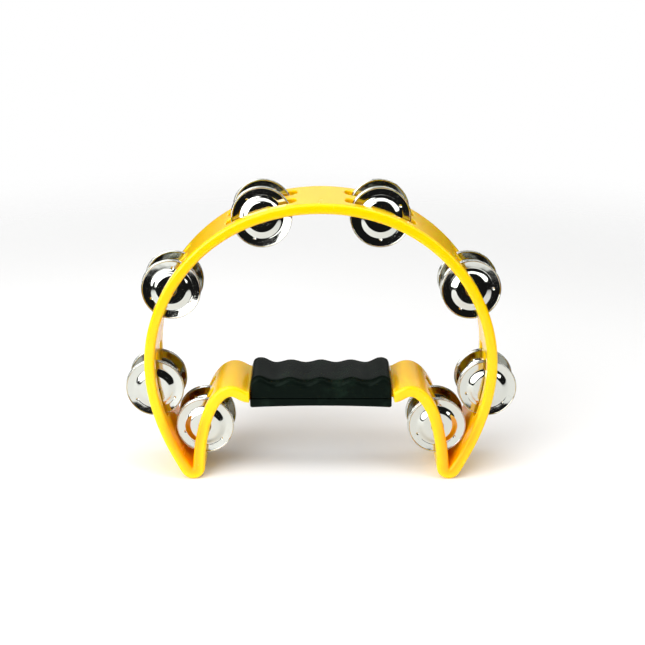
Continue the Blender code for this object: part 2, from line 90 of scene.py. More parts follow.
class Patchwork:
    """Gathers grids of points into one closed mesh."""

    def __init__(self) -> None:
        """Start with no patches."""
        self.points: list[Array] = []
        self.faces: list[Array] = []
        self.count = 0

    def add_grid(self, points: Array, wrap_rows: bool = False, wrap_columns: bool = False) -> None:
        """Add a grid of quads.

        Args:
            points: Array of shape (rows, columns, 3).
            wrap_rows: Join the last row to the first.
            wrap_columns: Join the last column to the first.
        """
        rows, columns = points.shape[:2]
        row = np.arange(rows if wrap_rows else rows - 1)[:, None]
        column = np.arange(columns if wrap_columns else columns - 1)[None, :]
        next_row, next_column = (row + 1) % rows, (column + 1) % columns
        quads = np.stack(np.broadcast_arrays(row * columns + column, row * columns + next_column,
                                             next_row * columns + next_column,
                                             next_row * columns + column), axis=-1)
        self.points.append(points.reshape(-1, 3))
        self.faces.append(quads.reshape(-1, 4) + self.count)
        self.count += rows * columns

    def build(self, name: str) -> bpy.types.Object:
        """Weld the patches, turn their faces outwards and make an object of them.

        Args:
            name: The piece's name.

        Returns:
            The new object, smooth shaded, at the origin.
        """
        mesh = bpy.data.meshes.new(name)
        mesh.from_pydata(np.vstack(self.points), [], np.vstack(self.faces))
        solid = bmesh.new()
        solid.from_mesh(mesh)
        bmesh.ops.remove_doubles(solid, verts=solid.verts, dist=WELD)
        bmesh.ops.dissolve_degenerate(solid, edges=solid.edges, dist=WELD)
        bmesh.ops.recalc_face_normals(solid, faces=solid.faces)
        solid.to_mesh(mesh)
        solid.free()
        mesh.polygons.foreach_set("use_smooth", np.ones(len(mesh.polygons), bool))
        piece = bpy.data.objects.new(name, mesh)
        bpy.context.scene.collection.objects.link(piece)
        return piece


def points_of(item: bpy.types.Object) -> Array:
    """The vertices of an object.

    Args:
        item: A mesh object at the origin.

    Returns:
        Array of shape (vertices, 3).
    """
    points = np.empty(len(item.data.vertices) * 3)
    item.data.vertices.foreach_get("co", points)
    return points.reshape(-1, 3)


def move_points(item: bpy.types.Object, points: Array) -> None:
    """Put an object's vertices at new places.

    Args:
        item: A mesh object at the origin.
        points: Array of shape (vertices, 3).
    """
    item.data.vertices.foreach_set("co", points.ravel())
    item.data.update()


def write_attribute(item: bpy.types.Object, name: str, values: Array) -> None:
    """Store a number on each vertex, for a material to read.

    Args:
        item: The piece.
        name: The attribute's name.
        values: One number for each vertex.
    """
    layer = item.data.attributes.new(name, "FLOAT", "POINT")
    layer.data.foreach_set("value", values.astype(np.float32))


def smooth_step(value: Array | float) -> Array:
    """0 below 0, 1 above 1 and 3t^2 - 2t^3 between.

    Args:
        value: The share t.

    Returns:
        The eased share.
    """
    share = np.clip(value, 0.0, 1.0)
    return share * share * (3.0 - 2.0 * share)


def turned(profile: Array, angles: Array) -> Array:
    """A profile carried round +Z: (r cos a, r sin a, z) for every profile point and angle.

    Args:
        profile: Array of (radius, height) rows.
        angles: Angles in radians.

    Returns:
        Array of shape (profile points, angles, 3).
    """
    radius, height = profile[:, 0][:, None], profile[:, 1][:, None]
    level = np.broadcast_to(height, (len(profile), len(angles)))
    return np.stack((radius * np.cos(angles), radius * np.sin(angles), level), axis=-1)


def finish_piece(piece: bpy.types.Object, body: str, nodes: Sequence[str],
                 material: bpy.types.Material) -> None:
    """Dress a piece, hang it on its body and let it stand for its CAD nodes.

    Args:
        piece: The fine piece.
        body: The CAD body that it moves with.
        nodes: The CAD nodes that it stands for.
        material: Its finish.
    """
    piece.data.materials.clear()
    piece.data.materials.append(material)
    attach(piece, body)
    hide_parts(*nodes)
    log.info("%s: %d faces on %s", piece.name, len(piece.data.polygons), body)


# ---------------------------------------------------------------- shader maths

class Signal:
    """A socket of a node tree that takes Python's operators."""

    def __init__(self, paint: Paint, socket: bpy.types.NodeSocket) -> None:
        """Wrap a socket.

        Args:
            paint: The material that it belongs to.
            socket: An output socket.
        """
        self.paint = paint
        self.socket = socket

    def _math(self, operation: str, first: Any, second: Any) -> Signal:
        """One Math node."""
        return self.paint.node("ShaderNodeMath", {"operation": operation}, {0: first, 1: second})

    def __add__(self, other: Any) -> Signal:
        """self + other."""
        return self._math("ADD", self, other)

    __radd__ = __add__

    def __mul__(self, other: Any) -> Signal:
        """self * other."""
        return self._math("MULTIPLY", self, other)

    __rmul__ = __mul__

    def __sub__(self, other: Any) -> Signal:
        """self - other."""
        return self._math("SUBTRACT", self, other)

    def __rsub__(self, other: Any) -> Signal:
        """other - self."""
        return self._math("SUBTRACT", other, self)

    def above(self, low: float, high: float) -> Signal:
        """0 below low, 1 above high, eased between.

        Args:
            low: Where the rise starts.
            high: Where it ends.

        Returns:
            The mask.
        """
        settings = {"interpolation_type": "SMOOTHSTEP"}
        return self.paint.node("ShaderNodeMapRange", settings, {0: self, 1: low, 2: high})


class Paint:
    """A material, and the nodes that its finish is made of."""

    def __init__(self, name: str) -> None:
        """Start with a bare Principled BSDF.

        Args:
            name: The finish's name.
        """
        self.material = bpy.data.materials.new(name)
        self.material.use_nodes = True
        self.tree = self.material.node_tree
        self.shader = self.tree.nodes["Principled BSDF"]
        self.place = self.node("ShaderNodeTexCoord", output="Object")

    def node(self, kind: str, settings: dict[str, Any] | None = None,
             inputs: dict[int | str, Any] | None = None, output: int | str = 0) -> Signal:
        """Make any node.

        Args:
            kind: The node's type.
            settings: Its properties, which are set first.
            inputs: Values or signals for its input sockets, by number or name.
            output: The output socket that is wanted.

        Returns:
            That output.
        """
        made = self.tree.nodes.new(kind)
        for key, value in (settings or {}).items():
            setattr(made, key, value)
        for key, value in (inputs or {}).items():
            self.feed(made.inputs[key], value)
        return Signal(self, made.outputs[output])

    def feed(self, socket: bpy.types.NodeSocket, value: Any) -> None:
        """Link a signal to an input, or set a number or colour on it.

        Args:
            socket: The input.
            value: A signal, number or tuple.
        """
        if isinstance(value, Signal):
            self.tree.links.new(value.socket, socket)
        elif isinstance(value, tuple) and len(value) == 3 and socket.type == "RGBA":
            socket.default_value = (*value, 1.0)
        else:
            socket.default_value = value

    def set(self, **values: Any) -> None:
        """Feed the shader's own inputs, spaces written as underscores.

        Args:
            values: Signals, numbers or colours by input name.
        """
        for key, value in values.items():
            self.feed(self.shader.inputs[key.replace("_", " ")], value)

    def noise(self, scale: float, detail: float = 3.0, roughness: float = 0.5,
              stretch: Triple | None = None) -> Signal:
        """Noise on Object coordinates.

        Args:
            scale: Waves in a metre.
            detail: Octaves.
            roughness: Strength of the finer octaves.
            stretch: Scales along X, Y and Z, put in front of the noise.

        Returns:
            A value round 0.5.
        """
        place = self.place
        if stretch is not None:
            place = self.node("ShaderNodeMapping", None, {"Vector": place, "Scale": stretch})
        inputs = {"Vector": place, "Scale": scale, "Detail": detail, "Roughness": roughness}
        return self.node("ShaderNodeTexNoise", None, inputs)

    def blend(self, first: Any, second: Any, share: Any) -> Signal:
        """Mix two colours.

        Args:
            first: The colour at share 0.
            second: The colour at share 1.
            share: The mask.

        Returns:
            The mixed colour.
        """
        inputs = {0: share, 6: first, 7: second}
        return self.node("ShaderNodeMix", {"data_type": "RGBA"}, inputs, output=2)

    def stored(self, name: str) -> Signal:
        """A number stored on the piece's vertices, by the attribute's name."""
        return self.node("ShaderNodeAttribute", {"attribute_name": name}, None, "Fac")

    def bump(self, height: Signal, distance: float, strength: float = 1.0,
             below: Signal | None = None) -> Signal:
        """A normal from a height.

        Args:
            height: The height, in units of distance.
            distance: Metres for a height of 1.
            strength: Share of the effect.
            below: A normal that this one is laid over.

        Returns:
            The normal.
        """
        inputs = {"Height": height, "Distance": distance, "Strength": strength}
        if below is not None:
            inputs["Normal"] = below
        return self.node("ShaderNodeBump", None, inputs)


# ---------------------------------------------------------------- finishes

@dataclass(frozen=True)
class GlossPlastic:
    """Through-dyed, injection moulded gloss plastic with faint flow marks, handling scuffs and
    painted bounce light in each horn's fold.
    """

    colour: Triple = (0.98, 0.585, 0.0)
    # deep is painted bounce light: the deeper orange painted into the fold between each horn's legs
    warm: Triple = (0.97, 0.51, 0.0)
    deep: Triple = (0.97, 0.36, 0.0)
    flow_share: float = 0.55
    speck_share: float = 0.35
    fold_share: float = 0.85
    gloss: float = 0.19
    scuffed: float = 0.34
    mottle: float = 0.06
    peel_depth: float = 0.00003
    scratch_depth: float = 0.000012
    index: float = 1.5
    specular: float = 0.32
    scatter: float = 0.6
    scatter_depth: float = 0.009
    scatter_colour: Triple = (1.0, 0.35, 0.02)
    hair_stretch: Triple = (1.0, 0.12, 1.0)

    def material(self) -> bpy.types.Material:
        """The finished material."""
        paint = Paint("yellow_gloss_plastic")
        flow = paint.noise(9.0, 4.0).above(0.35, 0.7)
        specks = paint.noise(900.0, 2.0).above(0.66, 0.74)
        colour = paint.blend(self.colour, self.warm, flow * self.flow_share)
        colour = paint.blend(colour, self.warm, specks * self.speck_share)
        # Painted bounce light: a deeper orange laid over the fold between each horn's legs, where
        # light bounces between the yellow walls.
        colour = paint.blend(colour, self.deep, paint.stored("fold") * self.fold_share)
        hairs = paint.noise(260.0, 2.0, stretch=self.hair_stretch).above(0.62, 0.70)
        scratches = hairs * paint.noise(24.0).above(0.5, 0.68)
        rough = (scratches * (self.scuffed - self.gloss) + paint.noise(60.0) * self.mottle
                 + self.gloss)
        peel = paint.bump(paint.noise(420.0, 2.0), self.peel_depth)
        scratched = paint.bump(scratches, self.scratch_depth, below=peel)
        paint.set(Base_Color=colour, Roughness=rough, Normal=scratched, IOR=self.index,
                  Specular_IOR_Level=self.specular, Subsurface_Weight=self.scatter,
                  Subsurface_Scale=self.scatter_depth, Subsurface_Radius=self.scatter_colour)
        return paint.material


@dataclass(frozen=True)
class JinglePlate:
    """Nickel-plated pressed steel: spun lines, slow ripples from the press, light tarnish."""

    colour: Triple = (0.55, 0.56, 0.52)
    tarnish: Triple = (0.43, 0.41, 0.35)
    tarnish_share: float = 0.3
    gloss: float = 0.045
    smudged: float = 0.04
    stained: float = 0.06
    spun: float = 0.03
    lines_per_metre: float = 2600.0
    ripple_depth: float = 0.00016
    line_depth: float = 0.000006
    pit_depth: float = 0.00001

    def material(self) -> bpy.types.Material:
        """The finished material."""
        paint = Paint("nickel_plated_sheet")
        rings = paint.stored("disc_radius") * self.lines_per_metre
        spun = paint.node("ShaderNodeTexNoise", {"noise_dimensions": "1D"},
                          {"W": rings, "Scale": 1.0, "Detail": 3.0})
        stain = paint.noise(110.0, 5.0, 0.65).above(0.56, 0.78)
        smudge = paint.noise(55.0, 4.0).above(0.45, 0.75)
        colour = paint.blend(self.colour, self.tarnish, stain * self.tarnish_share)
        rough = smudge * self.smudged + stain * self.stained + spun * self.spun + self.gloss
        ripples = paint.bump(paint.noise(130.0, 1.0), self.ripple_depth)
        lines = paint.bump(spun, self.line_depth, below=ripples)
        pits = 1.0 - paint.noise(1400.0, 1.0).above(0.68, 0.74)
        paint.set(Base_Color=colour, Metallic=1.0, Roughness=rough,
                  Normal=paint.bump(pits, self.pit_depth, below=lines))
        return paint.material


@dataclass(frozen=True)
class PlainSteel:
    """Drawn steel with lengthwise lines."""

    colour: Triple = (0.62, 0.61, 0.59)
    dark: Triple = (0.33, 0.31, 0.28)
    dark_share: float = 0.6
    gloss: float = 0.22
    drawn: float = 0.12
    grimy: float = 0.15
    line_depth: float = 0.00001
    line_stretch: Triple = (1.0, 0.05, 1.0)

    def material(self) -> bpy.types.Material:
        """The finished material."""
        paint = Paint("drawn_steel")
        lines = paint.noise(1500.0, 2.0, stretch=self.line_stretch)
        grime = paint.noise(160.0, 4.0).above(0.5, 0.75)
        paint.set(Base_Color=paint.blend(self.colour, self.dark, grime * self.dark_share),
                  Metallic=1.0, Roughness=lines * self.drawn + grime * self.grimy + self.gloss,
                  Normal=paint.bump(lines, self.line_depth))
        return paint.material


@dataclass(frozen=True)
class GripRubber:
    """Dark moulded grip: fine even grain, with dust and polished skin in patches at random."""

    colour: Triple = (0.0026, 0.0048, 0.0036)
    dusty: Triple = (0.008, 0.017, 0.011)
    dust_share: float = 0.6
    matt: float = 0.27
    dust_matt: float = 0.10
    polish_gloss: float = 0.07
    grains_per_metre: float = 2100.0
    grain_depth: float = 0.00004
    grain_strength: float = 0.5
    wave_depth: float = 0.00006
    index: float = 1.4
    specular: float = 0.045
    tint: Triple = (0.75, 1.0, 0.82)

    def material(self) -> bpy.types.Material:
        """The finished material."""
        paint = Paint("dark_grip_rubber")
        grain = paint.node("ShaderNodeTexVoronoi", {"feature": "SMOOTH_F1"},
                           {"Vector": paint.place, "Scale": self.grains_per_metre,
                            "Smoothness": 0.7})
        dust = paint.noise(75.0, 5.0, 0.6).above(0.48, 0.74)
        polish = paint.noise(38.0).above(0.42, 0.7)
        grained = paint.bump(grain, self.grain_depth, self.grain_strength)
        wavy = paint.bump(paint.noise(210.0, 2.0), self.wave_depth, below=grained)
        paint.set(Base_Color=paint.blend(self.colour, self.dusty, dust * self.dust_share),
                  Roughness=dust * self.dust_matt - polish * self.polish_gloss + self.matt,
                  Normal=wavy, IOR=self.index, Specular_IOR_Level=self.specular,
                  Specular_Tint=self.tint)
        return paint.material


# ---------------------------------------------------------------- middle line of the band

@dataclass
class MiddleLine:
    """The closed line that the band's wall is carried round, in the XZ plane."""

    width: float = 0.244
    height: float = 0.2017
    wall: float = 0.0072
    horn_wall: float = 1.2 * 0.0072
    horn_swell: float = 0.016
    leg_wall: float = 1.1 * 0.0072
    hump_wall: float = 1.15 * 0.0072
    widest: float = 0.0843
    crown_fullness: float = 0.074
    shoulder_fullness: float = 0.055
    flank_fullness: float = 0.0365
    horn_fullness: float = 0.011
    horn_spread: float = 0.0912
    horn_bend: float = 0.0045
    outer_leg: float = math.radians(58.0)
    inner_leg: float = math.radians(87.0)
    leg_fullness: float = 0.036
    hump_spread: float = 0.0625
    hump_height: float = 0.0674
    hump_outer: float = 0.0115
    hump_inner: float = 0.005
    bar_height: float = 0.063
    grip_end: float = 0.0500
    bar_blend: float = 0.0006
    steps: int = 240
    samples: int = 2000
    points: Array = field(init=False)
    normals: Array = field(init=False)
    lengths: Array = field(init=False)
    wall_places: Array = field(init=False)

    def __post_init__(self) -> None:
        """Work out the points, outward normals and running lengths of the loop."""
        right = self._right_half()
        loop = np.vstack((right, right[1:][::-1] * np.array((-1.0, 1.0))))
        keep = np.concatenate(((True,), np.linalg.norm(np.diff(loop, axis=0), axis=1) > WELD))
        loop = loop[keep]
        along = np.gradient(loop, axis=0)
        along[0] = along[-1] = (1.0, 0.0)
        along /= np.linalg.norm(along, axis=1)[:, None]
        self.points = loop
        self.normals = np.column_stack((-along[:, 1], along[:, 0]))
        spans = np.linalg.norm(np.diff(loop, axis=0), axis=1)
        self.lengths = np.concatenate(((0.0,), np.cumsum(spans)))
        outer = self.steps * 2
        horn = outer + int(np.argmin(loop[outer:outer + self.steps, 1]))
        hump = horn + int(np.argmax(loop[horn:len(right), 1]))
        tip, top = self.lengths[horn], self.lengths[hump]
        self.wall_places = np.array((0.0, tip - self.horn_swell, tip, (tip + top) / 2, top))

    @property
    def total(self) -> float:
        """Length of the whole loop."""
        return float(self.lengths[-1])

    def _curve(self, *corners: tuple[float, float]) -> Array:
        """A cubic Bezier curve without its last point.

        The curve is (1-t)^3 A + 3 (1-t)^2 t B + 3 (1-t) t^2 C + t^3 D.

        Args:
            corners: The points A, B, C and D.

        Returns:
            Array of shape (steps, 2).
        """
        a, b, c, d = (np.array(corner) for corner in corners)
        t = np.linspace(0.0, 1.0, self.steps, endpoint=False)[:, None]
        back = 1 - t
        return back ** 3 * a + 3 * back ** 2 * t * b + 3 * back * t ** 2 * c + t ** 3 * d

    def _right_half(self) -> Array:
        """Crown, outer leg, horn, inner leg, hump and half of the bar."""
        reach, crown = (self.width - self.wall) / 2, self.height - self.wall / 2
        centre = np.array((self.horn_spread, self.horn_bend + self.horn_wall / 2))
        turns = np.linspace(self.outer_leg - math.pi / 2, -math.pi / 2 - self.inner_leg, self.steps)
        bend = centre + self.horn_bend * np.column_stack((np.cos(turns), np.sin(turns)))
        outward = np.array((math.cos(self.outer_leg), math.sin(self.outer_leg)))
        inward = np.array((-math.cos(self.inner_leg), math.sin(self.inner_leg)))
        hump = (self.hump_spread, self.hump_height)
        end = (self.grip_end, self.bar_height)
        arch = self._curve((0, crown), (self.crown_fullness, crown),
                           (reach, self.widest + self.shoulder_fullness), (reach, self.widest))
        flank = self._curve((reach, self.widest), (reach, self.widest - self.flank_fullness),
                            tuple(bend[0] + self.horn_fullness * outward), tuple(bend[0]))
        leg = self._curve(tuple(bend[-1]), tuple(bend[-1] + self.leg_fullness * inward),
                          (self.hump_spread + self.hump_outer, self.hump_height), hump)
        slope = self._curve(hump, (self.hump_spread - self.hump_inner, self.hump_height),
                            (self.grip_end + self.hump_inner, self.bar_height), end)
        bar = np.column_stack((np.linspace(self.grip_end, 0.0, self.steps // 2),
                               np.full(self.steps // 2, self.bar_height)))
        return np.vstack((arch, flank, bend[:-1], leg, slope, bar))

    def from_grip(self, length: Array) -> Array:
        """How far a length is outside the grip's ends, in metres, along the loop.

        Args:
            length: Length along the loop from the crown.

        Returns:
            Distances, below 0 inside the grip.
        """
        return np.abs(np.mod(length, self.total) - self.total / 2) - self.grip_end

    def thickness(self, length: Array) -> Array:
        """Thickness of the wall: fuller at the horn, leg and hump, and plain inside the grip.

        Args:
            length: Length along the loop from the crown.

        Returns:
            The thickness.
        """
        wrapped = np.mod(length, self.total)
        half = np.minimum(wrapped, self.total - wrapped)
        walls = (self.wall, self.wall, self.horn_wall, self.leg_wall, self.hump_wall)
        full = np.interp(half, self.wall_places, walls)
        outside = smooth_step(self.from_grip(length) / self.bar_blend)
        return self.wall + (full - self.wall) * outside

    def carry(self, length: Array, depth: Array, rise: Array) -> Array:
        """Carry band coordinates onto the loop: middle point + rise times outward normal.

        Args:
            length: Length along the loop from the crown, clockwise seen from the front.
            depth: Y.
            rise: Height off the middle line, outwards, on a wall of plain thickness.

        Returns:
            Points of the arguments' common shape, with a last axis of 3.
        """
        length, depth, rise = np.broadcast_arrays(length, depth, rise)
        wrapped = np.mod(length, self.total)
        x, z, nx, nz = (np.interp(wrapped, self.lengths, column) for column in
                        (*self.points.T, *self.normals.T))
        reach = rise * self.thickness(length) / self.wall / np.hypot(nx, nz)
        return np.stack((x + reach * nx, depth, z + reach * nz), axis=-1)

    def length_at(self, x: float, z: float) -> float:
        """Length along the loop of the point nearest to a place.

        Args:
            x: The place's X.
            z: The place's Z.

        Returns:
            The length.
        """
        away = np.hypot(self.points[:, 0] - x, self.points[:, 1] - z)
        return float(self.lengths[int(np.argmin(away))])

    def cuts(self, start: float, end: float, longest: float, bend: float) -> Array:
        """Lengths that divide a stretch, closer where the line bends.

        Args:
            start: Where the stretch starts.
            end: Where it ends, above start.
            longest: The longest step.
            bend: The largest turn in a step, in radians.

        Returns:
            The lengths, with both ends.
        """
        fine = np.linspace(start, end, self.samples)
        wrapped = np.mod(fine, self.total)
        nx, nz = (np.interp(wrapped, self.lengths, column) for column in self.normals.T)
        turn = np.abs(np.diff(np.unwrap(np.arctan2(nz, nx))))
        weight = np.concatenate(((0.0,), np.cumsum(np.diff(fine) / longest + turn / bend)))
        count = max(2, int(math.ceil(weight[-1])) + 1)
        return np.interp(np.linspace(0.0, weight[-1], count), weight, fine)


# ---------------------------------------------------------------- band

@dataclass
class Band:
    """The one-piece moulded band with its sixteen slots."""

    line: MiddleLine
    depth: float = 0.052
    edge: float = 0.0020
    bar_depth: float = 0.0345
    slot_half_length: float = 0.0246
    slot_half_width: float = 0.00625
    slot_corner: float = 0.0045
    slot_fillet: float = 0.0009
    slot_row: float = 0.011
    margin: float = 0.0030
    support: float = 0.0005
    along_slot: int = 40
    across_slot: int = 12
    rings: int = 6
    edge_steps: int = 6
    longest: float = 0.0020
    bend: float = math.radians(5.0)
    step_cuts: int = 6
    # Reach and fade of the fold mask that carries the plastic's painted bounce light.
    fold_top: float = 0.056
    fold_fade: float = 0.022
    fillet_cuts: int = 5
    wall_cuts: tuple[float, ...] = (0.25, 0.5, 0.75)
    chunk: int = 4000

    def half_depth(self, length: Array) -> Array:
        """Half the band's depth: full on the arch and legs, eased down to the bar inside the grip.

        Args:
            length: Length along the loop.

        Returns:
            The half depths.
        """
        outside = smooth_step(self.line.from_grip(length) / self.line.bar_blend)
        return self.bar_depth / 2 + outside * (self.depth - self.bar_depth) / 2

    def step_lengths(self, lengths: Array) -> Array:
        """Extra cuts at the two steps where the band narrows to the bar inside the grip.

        Args:
            lengths: The cuts of a stretch, in order.

        Returns:
            The extra cuts that lie inside the stretch.
        """
        across = np.linspace(0.0, self.line.bar_blend, self.step_cuts)
        ends = self.line.total / 2 + np.outer((-1.0, 1.0), self.line.grip_end + across).ravel()
        return ends[(ends > lengths[0]) & (ends < lengths[-1])]

    def station_lengths(self) -> list[float]:
        """Lengths of the eight stations along the loop, from the places of the CAD pins."""
        lengths = []
        for station in Station:
            for side in Side:
                low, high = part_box(f"pin_{station.value}_{side.word}")
                middle = (low + high) / 2
                lengths.append(self.line.length_at(middle.x, middle.z))
        return sorted(lengths)

    def rim_profile(self) -> Array:
        """A rounded edge, as rows of (inset from the full depth, rise)."""
        return np.vstack(self.roundings(self.edge, self.edge_steps + 1))

    def roundings(self, radius: float, cuts: int) -> tuple[Array, Array]:
        """Quarter rounds at the wall's outer and inner face: (r (1 - sin a), h - r (1 - cos a)).

        Args:
            radius: Their radius r; h is half the wall.
            cuts: Points on each.

        Returns:
            Rows of (offset, rise) for the outer one, and for the inner one in the other order.
        """
        angles = np.linspace(0.0, math.pi / 2, cuts)
        rises = self.line.wall / 2 - radius * (1 - np.cos(angles))
        over = np.column_stack((radius * (1 - np.sin(angles)), rises))
        return over, over[::-1] * np.array((1.0, -1.0))

    def slot_wall_profile(self) -> Array:
        """A slot's wall from outer face to inner, as rows of (offset from its outline, rise)."""
        over, under = self.roundings(self.slot_fillet, self.fillet_cuts)
        straight = np.array(self.wall_cuts)[:, None] * (under[0] - over[-1]) + over[-1]
        return np.vstack((over, straight, under))

    def outline(self, around: Array, offset: float) -> Array:
        """Nearest points to given ones on the slot's outline, moved outwards by an offset.

        Each point is cut back to the box inside the outline's rounded corners, and pushed out from
        there by the corner's radius.

        Args:
            around: Points (along, across) on the patch's edge, from the slot's middle.
            offset: Distance outside the slot's wall.

        Returns:
            Points (along, across).
        """
        core = np.array((self.slot_half_length, self.slot_half_width)) - self.slot_corner
        inside = np.clip(around, -core, core)
        away = around - inside
        away /= np.linalg.norm(away, axis=1)[:, None]
        return inside + away * (self.slot_corner + offset)

    def patch_edge(self, grid: Array) -> Array:
        """Points round a slot's patch, from the slot's middle, in order.

        Args:
            grid: Depths of the face's rows on this half, from the band's middle outwards.

        Returns:
            Points (along, across).
        """
        reach = self.slot_half_length + self.margin
        along = np.linspace(-reach, reach, self.along_slot + 1)
        across = grid - self.slot_row
        bottom = np.column_stack((along[:-1], np.full(self.along_slot, across[0])))
        right = np.column_stack((np.full(len(across) - 1, reach), across[:-1]))
        top = np.column_stack((along[:0:-1], np.full(self.along_slot, across[-1])))
        left = np.column_stack((np.full(len(across) - 1, -reach), across[:0:-1]))
        return np.vstack((bottom, right, top, left))

    def rows(self) -> Array:
        """Depths of a face's rows over one half, with a support row beside the rounded edge."""
        full = self.depth / 2 - self.edge
        return np.concatenate((np.linspace(0.0, full - self.support, self.across_slot), (full,)))

    def add_slot(self, patches: Patchwork, length: float, row: int) -> None:
        """A slot's wall, and the faces' patches round it.

        Args:
            patches: The band's patches.
            length: The station's length along the loop.
            row: -1 for the front row and 1 for the rear one.
        """
        edge = self.patch_edge(self.rows())
        place = np.array((length, self.slot_row))
        offsets, rises = self.slot_wall_profile().T
        walls = np.stack([self.outline(edge, offset) + place for offset in offsets])
        patches.add_grid(self.line.carry(walls[..., 0], row * walls[..., 1], rises[:, None]),
                         wrap_columns=True)
        hole = self.outline(edge, self.slot_fillet)
        near = self.outline(edge, self.slot_fillet + self.support)
        shares = np.concatenate(((0.0,), np.linspace(0.0, 1.0, self.rings)))[:, None, None]
        rings = near + (edge - near) * shares
        rings[0] = hole
        rings = rings + place
        for rise in (self.line.wall / 2, -self.line.wall / 2):
            patches.add_grid(self.line.carry(rings[..., 0], row * rings[..., 1], rise),
                             wrap_columns=True)

    def add_plain(self, patches: Patchwork, lengths: Array) -> None:
        """Both faces of a stretch with no slot.

        Args:
            patches: The band's patches.
            lengths: The lengths that divide it.
        """
        rows = self.rows()
        rows = np.concatenate((-rows[:0:-1], rows)) / (self.depth / 2 - self.edge)
        full = self.half_depth(lengths)[:, None] - self.edge
        for rise in (self.line.wall / 2, -self.line.wall / 2):
            patches.add_grid(self.line.carry(lengths[:, None], rows * full, rise))

    def add_rims(self, patches: Patchwork, lengths: Array) -> None:
        """The rounded front and rear edges, all the way round.

        Args:
            patches: The band's patches.
            lengths: Every length where the faces are divided.
        """
        profile = self.rim_profile()
        full = self.half_depth(lengths)[:, None]
        for row in (-1, 1):
            depth = row * (full - profile[:, 0])
            patches.add_grid(self.line.carry(lengths[:, None], depth, profile[:, 1]),
                             wrap_rows=True)

    def build(self) -> bpy.types.Object:
        """The band's closed surface."""
        patches = Patchwork()
        reach = self.slot_half_length + self.margin
        stations = self.station_lengths()
        all_lengths = []
        for index, length in enumerate(stations):
            all_lengths.append(length + np.linspace(-reach, reach, self.along_slot + 1))
            for row in (-1, 1):
                self.add_slot(patches, length, row)
            following = stations[(index + 1) % len(stations)]
            if following < length:
                following += self.line.total
            plain = self.line.cuts(length + reach, following - reach, self.longest, self.bend)
            plain = np.unique(np.concatenate((plain, self.step_lengths(plain))))
            self.add_plain(patches, plain)
            all_lengths.append(plain[1:-1])
        self.add_rims(patches, np.concatenate(all_lengths))
        piece = patches.build("band")
        # The fold mask for the plastic's painted bounce light.
        write_attribute(piece, "fold", self.folds(points_of(piece)))
        return piece

    def folds(self, points: Array) -> Array:
        """How deep each point lies in the fold between a horn's two legs, on the wall's inner side:
        the mask of the plastic's painted bounce light.

        A point is on the inner side if it lies against the outward normal of the nearest place on
        the middle line.

        Args:
            points: The band's vertices.

        Returns:
            Numbers from 0 to 1.
        """
        near = self.line.points[:, 1] < self.fold_top + self.line.hump_outer
        middle, normals = self.line.points[near], self.line.normals[near]
        depths = np.zeros(len(points))
        low = np.flatnonzero(points[:, 2] < self.fold_top)
        for chunk in np.array_split(low, max(1, len(low) // self.chunk)):
            places = points[chunk][:, (0, 2)]
            away = np.hypot(places[:, :1] - middle[:, 0], places[:, 1:] - middle[:, 1])
            nearest = away.argmin(axis=1)
            inside = ((places - middle[nearest]) * normals[nearest]).sum(axis=1) < 0
            depths[chunk] = inside * smooth_step((self.fold_top - places[:, 1]) / self.fold_fade)
        return depths


# ---------------------------------------------------------------- grip

@dataclass
class RoundedBlock:
    """A box with rounded edges, whose radii may differ from side to side."""

    low: Triple
    high: Triple
    low_radii: Triple
    high_radii: Triple
    steps: tuple[int, int, int]
    turn_steps: int = 6

    def ticks(self, axis: int) -> Array:
        """Cuts along an axis: even in the middle, and tan of even angles in the rounded zones.

        Args:
            axis: 0, 1 or 2.

        Returns:
            Places from low to high.
        """
        zone = np.tan(np.linspace(0.0, math.pi / 4, self.turn_steps + 1))
        start = self.low[axis] + self.low_radii[axis] * (1 - zone[::-1])
        end = self.high[axis] - self.high_radii[axis] * (1 - zone)
        middle = np.linspace(start[-1], end[0], self.steps[axis] + 1)
        return np.concatenate((start[:-1], middle, end[1:]))

    def build(self, name: str) -> bpy.types.Object:
        """The block: each point of the sharp box is pulled in to a core and pushed out again.

        A point is cut back to the core, and its distances from the core, in radii, are scaled to a
        unit vector, which puts it on the rounding.

        Args:
            name: The piece's name.

        Returns:
            The block.
        """
        patches = Patchwork()
        ticks = [self.ticks(axis) for axis in range(3)]
        for axis in range(3):
            first, second = ticks[(axis + 1) % 3], ticks[(axis + 2) % 3]
            for level in (ticks[axis][0], ticks[axis][-1]):
                grid = np.empty((len(first), len(second), 3))
                grid[..., axis] = level
                grid[..., (axis + 1) % 3] = first[:, None]
                grid[..., (axis + 2) % 3] = second[None, :]
                patches.add_grid(self.rounded(grid))
        return patches.build(name)

    def rounded(self, points: Array) -> Array:
        """Points of the sharp box, moved onto the rounded one.

        Args:
            points: Points on the sharp box's faces.

        Returns:
            The moved points.
        """
        low, high = np.array(self.low), np.array(self.high)
        low_radii, high_radii = np.array(self.low_radii), np.array(self.high_radii)
        core = np.clip(points, low + low_radii, high - high_radii)
        radii = np.where(points < core, low_radii, high_radii)
        away = (points - core) / radii
        return core + radii * away / np.linalg.norm(away, axis=-1)[..., None]


